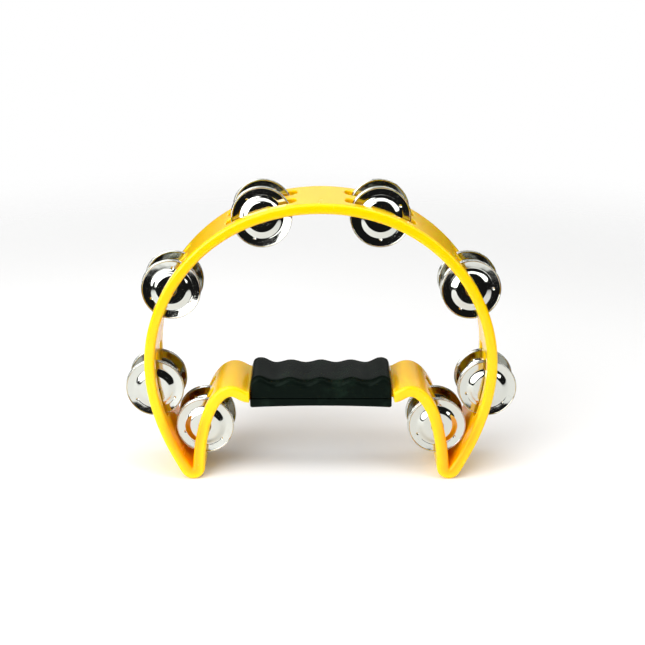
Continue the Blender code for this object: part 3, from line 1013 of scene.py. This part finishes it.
@dataclass
class Grip:
    """Two moulded halves clamped round the bar, with four finger hollows on top."""

    length: float = 0.0994
    depth: float = 0.0425
    bottom: float = 0.0534
    crest: float = 0.0756
    parting: float = 0.0605
    gap: float = 0.0003
    under_arch: float = 0.0013
    end_rise: float = 0.0018
    end_corner: float = 0.0050
    pitch: float = 0.0216
    front_hollow: float = 0.0026
    rear_hollow: float = 0.0019
    rolled_hollow: float = 0.0010
    rolled_zone: float = 0.0055
    soft: float = 0.0040
    rear_soft: float = 0.0100
    end_soft: float = 0.0018
    seam_soft: float = 0.00035
    under_end: float = 0.0016
    under_side: float = 0.0014
    outer_valley: float = 1.5
    front_rise: float = 0.55
    corner_drop: float = 0.75
    corner_reach: float = 1.06
    upper_steps: tuple[int, int, int] = (150, 16, 8)
    lower_steps: tuple[int, int, int] = (90, 16, 8)

    def top_shape(self, x: Array, y: Array) -> Array:
        """Height of the top over its crests: hollows of sin^2, deeper in front, and raised ends.

        Args:
            x: Places along the grip.
            y: Places across it.

        Returns:
            Heights over the middle crests.
        """
        turn = x / self.pitch
        share = smooth_step(y / self.depth + 0.5)
        hollow = self.front_hollow + (self.rear_hollow - self.front_hollow) * share
        rolled = smooth_step(1.0 - (y + self.depth / 2) / self.rolled_zone)
        hollow = hollow + self.rolled_hollow * rolled
        shape = -hollow * np.sin(math.pi * turn) ** 2
        past = np.clip(np.abs(turn) - self.outer_valley, 0.0, 0.5)
        rise = self.end_rise * (self.front_rise + (1 - self.front_rise) * share)
        shape = shape + rise * np.sin(math.pi * past) ** 2
        corner = self.end_corner
        from_corner = np.clip(np.abs(x) - (self.length / 2 - corner), 0.0, corner)
        reach = corner * self.corner_reach
        return shape - self.corner_drop * (reach - np.sqrt(reach ** 2 - from_corner ** 2))

    def upper(self) -> bpy.types.Object:
        """The upper half, its top warped by the hollows."""
        half, deep = self.length / 2, self.depth / 2
        base = self.parting + self.gap / 2
        block = RoundedBlock((-half, -deep, base), (half, deep, self.crest),
                             (self.end_soft, self.soft, self.seam_soft),
                             (self.end_soft, self.rear_soft, self.soft), self.upper_steps)
        piece = block.build("grip_upper_half")
        points = points_of(piece)
        share = smooth_step((points[:, 2] - base) / (self.crest - base - self.soft / 2))
        points[:, 2] += share * self.top_shape(points[:, 0], points[:, 1])
        move_points(piece, points)
        return piece

    def lower(self) -> bpy.types.Object:
        """The lower half, its underside slightly arched."""
        half, deep = self.length / 2, self.depth / 2
        top = self.parting - self.gap / 2
        block = RoundedBlock((-half, -deep, self.bottom), (half, deep, top),
                             (self.end_soft, self.under_end, self.under_side),
                             (self.end_soft, self.soft, self.seam_soft), self.lower_steps)
        piece = block.build("grip_lower_half")
        points = points_of(piece)
        share = 1.0 - (points[:, 2] - self.bottom) / (top - self.bottom)
        points[:, 2] += share * self.under_arch * (1.0 - (points[:, 0] / half) ** 2)
        move_points(piece, points)
        return piece


# ---------------------------------------------------------------- screws and pins

@dataclass
class Turnings:
    """The small turned steel pieces."""

    angles: int = 48
    pin_chamfer: float = 0.00025
    cross_width: float = 0.00045
    cross_reach: float = 0.0017
    cross_depth: float = 0.0007
    cross_side: float = 0.0002
    cross_end: float = 0.0003
    cross_top: float = 0.0005
    dome_steps: int = 14
    dome_edge: float = 0.0004
    dome_fall: float = 0.0003
    head_side: float = 0.0007
    head_thick: float = 0.0012
    shank: float = 0.0015
    tip_length: float = 0.0008
    tip_inset: float = 0.0005

    def surface(self, profile: Array) -> Array:
        """A profile turned about +Z, without doubling its first angle."""
        return turned(profile, np.linspace(0.0, 2 * math.pi, self.angles, endpoint=False))

    def piece(self, node: str, points: Array) -> bpy.types.Object:
        """The piece that stands for a CAD node, from its turned surface."""
        patches = Patchwork()
        patches.add_grid(points, wrap_columns=True)
        return patches.build(f"turned_{node}")

    def pin(self, station: Station, side: Side) -> bpy.types.Object:
        """A pin with chamfered ends, on its CAD pin's axis.

        Args:
            station: The pin's station.
            side: The pin's side.

        Returns:
            The pin.
        """
        node = f"pin_{station.value}_{side.word}"
        low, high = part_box(node)
        radius, bevel = (high.z - low.z) / 2, self.pin_chamfer
        front = np.array(((0.0, 0.0), (radius - bevel, 0.0), (radius, bevel),
                          (radius, 2 * bevel)))
        rear = front[::-1] * np.array((1.0, -1.0))
        points = self.surface(np.vstack((front + (0.0, low.y), rear + (0.0, high.y))))
        middle = (low + high) / 2
        return self.piece(node, np.stack((points[..., 0] + middle.x, points[..., 2],
                                          points[..., 1] + middle.z), axis=-1))

    def screw(self, side: Side) -> bpy.types.Object:
        """A pan-head screw with a cross recess, head down.

        Args:
            side: The screw's side.

        Returns:
            The screw.
        """
        node = f"grip_screw_{side.word}"
        low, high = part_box(node)
        head, shank = (high.x - low.x) / 2, self.shank
        under_head = low.z + self.head_thick
        shares = np.linspace(0.0, 1.0, self.dome_steps)
        dome = np.column_stack((shares * (head - self.dome_edge),
                                low.z + self.dome_fall * shares ** 2))
        rest = np.array(((head, low.z + self.head_side), (head, under_head),
                         (shank, under_head), (shank, high.z - self.tip_length),
                         (shank - self.tip_inset, high.z), (0.0, high.z)))
        points = self.surface(np.vstack((dome, rest)))
        across, along = np.abs(points[..., 0]), np.abs(points[..., 1])
        narrow, wide = np.minimum(across, along), np.maximum(across, along)
        recess = (1 - smooth_step((narrow - self.cross_width) / self.cross_side)) \
            * (1 - smooth_step((wide - self.cross_reach) / self.cross_end))
        on_dome = points[..., 2] < low.z + self.cross_top
        points[..., 2] += np.where(on_dome, recess * self.cross_depth, 0.0)
        middle = (low + high) / 2
        points[..., :2] += (middle.x, middle.y)
        return self.piece(node, points)


# ---------------------------------------------------------------- jingles

@dataclass
class Jingle:
    """A pressed disc: flat crown with a hole, shoulder, dished flange, rolled rim, dimples."""

    radius: float = 0.0205
    hole: float = 0.00375
    crown: float = 0.0096
    flange: float = 0.0146
    sheet: float = 0.0006
    dome: float = 0.0022
    dish: float = 0.00088
    dish_power: float = 1.25
    bead: float = 0.00036
    step: float = 0.00007
    step_at: float = 0.0002
    step_width: float = 0.0003
    dimple_at: float = 0.0151
    dimple_size: float = 0.00075
    dimple_depth: float = 0.00038
    dimple_behind: float = 0.05
    sector: float = math.radians(120.0)
    sector_steps: tuple[int, int] = (14, 28)
    dimple_reach: float = math.radians(7.0)
    ring_counts: tuple[int, int, int, int] = (6, 12, 9, 6)
    rim_turn: float = math.radians(125.0)
    rim_steps: int = 11
    hole_turns: tuple[float, float] = (math.radians(-110.0), math.radians(-250.0))
    hole_steps: int = 7

    def middle_height(self, radius: Array) -> Array:
        """Height of the sheet's middle over the flange's back: an eased fall, then a dish.

        Args:
            radius: Distances from the axis.

        Returns:
            Heights.
        """
        fall = smooth_step((radius - self.crown) / (self.flange - self.crown))
        out = np.clip((radius - self.flange) / (self.radius - self.flange), 0.0, 1.0)
        from_step = (radius - self.flange - self.step_at) / self.step_width
        dished = self.dome * (1 - fall) + self.dish * out ** self.dish_power
        return self.sheet / 2 + dished - self.step * np.exp(-from_step ** 2)

    def radii(self) -> Array:
        """Radii of the rings, closer on the shoulder, at the dimples and at the rim."""
        starts = (self.hole + 0.0003, self.crown, self.flange, self.dimple_at + 0.0020)
        ends = (self.crown - 0.0006, self.flange - 0.0004, self.dimple_at + 0.0012,
                self.radius - self.bead * 1.6)
        return np.concatenate([np.linspace(*span) for span in zip(starts, ends, self.ring_counts)])

    def profile(self) -> Array:
        """Closed profile of rows (radius, height, pressed share): top, rim, back and hole."""
        radii = self.radii()
        height = self.middle_height(radii)
        half = self.sheet / 2
        over = np.column_stack((radii, height + half, np.ones_like(radii)))
        pressed = np.full_like(radii, self.dimple_behind)
        under = np.column_stack((radii, height - half, pressed))[::-1]
        rim = self.rounding(self.radius, -self.bead, self.rim_turn, -self.rim_turn, self.rim_steps)
        hole = self.rounding(self.hole, half, *self.hole_turns, self.hole_steps)
        return np.vstack((over, rim, under, hole))

    def rounding(self, edge: float, inset: float, start: float, end: float, steps: int) -> Array:
        """A round edge: (e + i + |i| cos a, h + |i| sin a), with h the sheet's middle at e.

        Args:
            edge: Radius e of the edge.
            inset: Place i of the round's centre from the edge; its size is the round's radius.
            start: First angle a.
            end: Last angle.
            steps: Points.

        Returns:
            Rows of (radius, height, pressed share 0).
        """
        turns = np.linspace(start, end, steps)
        height, radius = self.middle_height(np.array((edge,)))[0], abs(inset)
        return np.column_stack((edge + inset + radius * np.cos(turns),
                                height + radius * np.sin(turns), np.zeros_like(turns)))

    def sector_angles(self) -> Array:
        """Angles over the three sectors, close together at each dimple."""
        close, wide = self.sector_steps
        reach = self.dimple_reach
        near = np.linspace(-reach, reach, close, endpoint=False)
        far = np.linspace(reach, self.sector - reach, wide, endpoint=False)
        angles = np.concatenate((near, far))
        return np.concatenate([angles + self.sector * index for index in range(3)])

    def surface(self) -> Array:
        """The disc about +Z, with each dimple a bell-shaped press mark."""
        profile, angles = self.profile(), self.sector_angles()
        points = turned(profile[:, :2], angles)
        nearest = np.mod(angles + self.sector / 2, self.sector) - self.sector / 2
        along = self.dimple_at * nearest[None, :]
        across = profile[:, 0][:, None] - self.dimple_at
        bell = np.exp(-(np.hypot(along, across) / self.dimple_size) ** 4)
        points[..., 2] -= self.dimple_depth * bell * profile[:, 2][:, None]
        return points


@dataclass
class JingleSet:
    """All thirty-two discs, each on the place of its CAD disc."""

    shape: Jingle
    dimple_angles: dict[tuple[Station, Side], float]
    rear_turn: float = math.radians(47.0)

    def axes(self, points: Array) -> tuple[Array, Array]:
        """Place and axes of a CAD disc.

        The axis is the direction of least spread, turned towards the crown's side.

        Args:
            points: The CAD disc's vertices.

        Returns:
            The point on the axis at the flange's back, and a matrix with rows (right, up, axis).
        """
        rings = np.unique(np.round(points, 7), axis=0)
        centre = rings.mean(axis=0)
        axis = np.linalg.svd(rings - centre, full_matrices=False)[2][2]
        height = (rings - centre) @ axis
        off_axis = np.linalg.norm(rings - centre - height[:, None] * axis, axis=1)
        if height[off_axis < self.shape.crown].mean() < height.mean():
            axis, height = -axis, -height
        up = np.array((0.0, 0.0, 1.0))
        up -= axis * (up @ axis)
        up /= np.linalg.norm(up)
        return centre + axis * height.min(), np.stack((np.cross(up, axis), up, axis))

    def build(self, name: str, angle: float) -> bpy.types.Object:
        """One disc.

        Args:
            name: The CAD node's name.
            angle: Angle of its first dimple, from the disc's right.

        Returns:
            The disc, with its ring radius stored on each vertex.
        """
        origin, rows = self.axes(points_of(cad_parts[name]))
        local = self.shape.surface()
        cos, sin = math.cos(angle), math.sin(angle)
        spin = np.array(((cos, sin, 0.0), (-sin, cos, 0.0), (0.0, 0.0, 1.0)))
        patches = Patchwork()
        patches.add_grid(local @ spin @ rows + origin, wrap_rows=True, wrap_columns=True)
        piece = patches.build(name.replace("jingle", "disc"))
        away = points_of(piece) - origin
        flat = away - (away @ rows[2])[:, None] * rows[2]
        write_attribute(piece, "disc_radius", np.linalg.norm(flat, axis=1))
        return piece

    def make_all(self, material: bpy.types.Material) -> None:
        """Make, dress and hang every disc.

        Args:
            material: The discs' finish.
        """
        for (station, side), angle in self.dimple_angles.items():
            for row, turn in (("front", 0.0), ("rear", self.rear_turn)):
                for number in (1, 2):
                    node = f"jingle_{station.value}_{side.word}_{row}_{number}"
                    piece = self.build(node, angle + turn * number)
                    finish_piece(piece, node, (node,), material)


# ---------------------------------------------------------------- studio

def aim(item: bpy.types.Object, target: Vector, away: Vector, distance: float) -> None:
    """Place a light or camera so that it looks at a point, and link it.

    Args:
        item: The light or camera.
        target: The point.
        away: Unit vector from the point to the item.
        distance: How far away it stands.
    """
    item.location = target + away * distance
    item.rotation_mode = "QUATERNION"
    item.rotation_quaternion = (-away).to_track_quat("-Z", "Y")
    bpy.context.scene.collection.objects.link(item)


@dataclass(frozen=True)
class Softbox:
    """A rectangular softbox that looks at the object."""

    name: str
    azimuth: float
    elevation: float
    distance: float
    size: tuple[float, float]
    power: float

    def build(self, target: Vector) -> None:
        """Hang the light.

        Args:
            target: The point that it looks at.
        """
        turn, tilt = math.radians(self.azimuth), math.radians(self.elevation)
        away = Vector((math.sin(turn) * math.cos(tilt), -math.cos(turn) * math.cos(tilt),
                       math.sin(tilt)))
        data = bpy.data.lights.new(self.name, "AREA")
        data.shape = "RECTANGLE"
        data.size, data.size_y = self.size
        data.energy = self.power
        light = bpy.data.objects.new(self.name, data)
        light.visible_camera = False
        aim(light, target, away, self.distance)


@dataclass
class Studio:
    """Pale floor, softboxes, plain surround and camera."""

    target: Triple = (0.00113, -0.026, 0.1190)
    camera_elevation: float = 20.0
    camera_distance: float = 0.8425
    lens: float = 69.19
    clip: tuple[float, float] = (0.01, 30.0)
    floor_front: float = -0.35
    floor_fade: float = 0.12
    floor_reach: float = 1.0
    floor_solid: float = 0.36
    floor_colour: Triple = (0.90, 0.90, 0.895)
    floor_matt: float = 0.7
    white: float = 1.0
    dark: float = 0.012
    boxes: tuple[Softbox, ...] = (
        Softbox("key_box", -42.0, 24.0, 1.3, (1.3, 1.2), 25.0),
        Softbox("top_box", 0.0, 84.0, 1.3, (1.8, 1.3), 21.0),
        Softbox("right_fill", 62.0, 32.0, 1.5, (0.6, 0.9), 6.0),
        Softbox("backdrop", 180.0, 22.0, 1.5, (2.2, 0.8), 4.2),
    )

    def floor(self) -> None:
        """A pale floor that ends a little way in front of the object."""
        patches = Patchwork()
        x = np.array((-self.floor_reach, self.floor_reach))
        y = np.array((self.floor_front - self.floor_fade, self.floor_reach))
        patches.add_grid(np.stack(np.broadcast_arrays(x[:, None], y[None, :], 0.0), axis=-1))
        piece = patches.build("floor")
        if piece.data.polygons[0].normal.z < 0:
            piece.data.flip_normals()
        paint = Paint("pale_floor")
        paint.set(Base_Color=self.floor_colour, Roughness=self.floor_matt)
        split = paint.node("ShaderNodeSeparateXYZ", None, {0: paint.place}, "Y")
        away = paint.node("ShaderNodeVectorMath", {"operation": "LENGTH"}, {0: paint.place},
                          "Value")
        front = split.above(self.floor_front - self.floor_fade, self.floor_front)
        clear = 1.0 - front * (1.0 - away.above(self.floor_solid, self.floor_reach))
        through = paint.node("ShaderNodeBsdfTransparent")
        mixed = paint.node("ShaderNodeMixShader", None,
                           {0: clear, 1: Signal(paint, paint.shader.outputs[0]), 2: through})
        paint.feed(paint.tree.nodes["Material Output"].inputs["Surface"], mixed)
        piece.data.materials.append(paint.material)

    def surround(self) -> None:
        """White behind the object, and dark where it isn't seen directly."""
        world = bpy.data.worlds.new("surround")
        bpy.context.scene.world = world
        world.use_nodes = True
        nodes, links = world.node_tree.nodes, world.node_tree.links
        dark, bright = nodes["Background"], nodes.new("ShaderNodeBackground")
        for ground, level in ((dark, self.dark), (bright, self.white)):
            ground.inputs["Color"].default_value = (level, level, level, 1.0)
        seen = nodes.new("ShaderNodeLightPath")
        mixed = nodes.new("ShaderNodeMixShader")
        links.new(seen.outputs["Is Camera Ray"], mixed.inputs[0])
        links.new(dark.outputs[0], mixed.inputs[1])
        links.new(bright.outputs[0], mixed.inputs[2])
        links.new(mixed.outputs[0], nodes["World Output"].inputs["Surface"])

    def camera(self) -> None:
        """The camera, a little above and straight in front."""
        tilt = math.radians(self.camera_elevation)
        away = Vector((0.0, -math.cos(tilt), math.sin(tilt)))
        data = bpy.data.cameras.new("camera")
        data.lens = self.lens
        data.clip_start, data.clip_end = self.clip
        item = bpy.data.objects.new("camera", data)
        aim(item, Vector(self.target), away, self.camera_distance)
        bpy.context.scene.camera = item

    def build(self) -> None:
        """Set up the whole studio."""
        bpy.context.scene.view_settings.view_transform = "Standard"
        self.floor()
        self.surround()
        self.camera()
        for box in self.boxes:
            box.build(Vector(self.target))


# ---------------------------------------------------------------- everything

DIMPLES = {(station, side): math.radians(degrees) for station, side, degrees in (
    (Station.CROWN, Side.LEFT, 130.0), (Station.CROWN, Side.RIGHT, -90.0),
    (Station.SHOULDER, Side.LEFT, -155.0), (Station.SHOULDER, Side.RIGHT, 2.0),
    (Station.FLANK, Side.LEFT, -148.0), (Station.FLANK, Side.RIGHT, 75.0),
    (Station.HORN, Side.LEFT, -42.0), (Station.HORN, Side.RIGHT, -35.0),
)}


def main() -> None:
    """Build the studio, then each sub-assembly in order."""
    logging.basicConfig(level=logging.INFO, format="%(message)s")
    Studio().build()
    line = MiddleLine()
    finish_piece(Band(line).build(), ROOT_BODY, ("frame",),
                 GlossPlastic().material())
    grip, rubber = Grip(), GripRubber().material()
    finish_piece(grip.upper(), ROOT_BODY, ("grip_upper",), rubber)
    finish_piece(grip.lower(), ROOT_BODY, ("grip_lower",), rubber)
    turnings, steel = Turnings(), PlainSteel().material()
    for side in Side:
        finish_piece(turnings.screw(side), ROOT_BODY,
                     (f"grip_screw_{side.word}",), steel)
        for station in Station:
            node = f"pin_{station.value}_{side.word}"
            finish_piece(turnings.pin(station, side), ROOT_BODY, (node,),
                         steel)
    JingleSet(Jingle(), DIMPLES).make_all(JinglePlate().material())


if __name__ == "__main__":
    main()
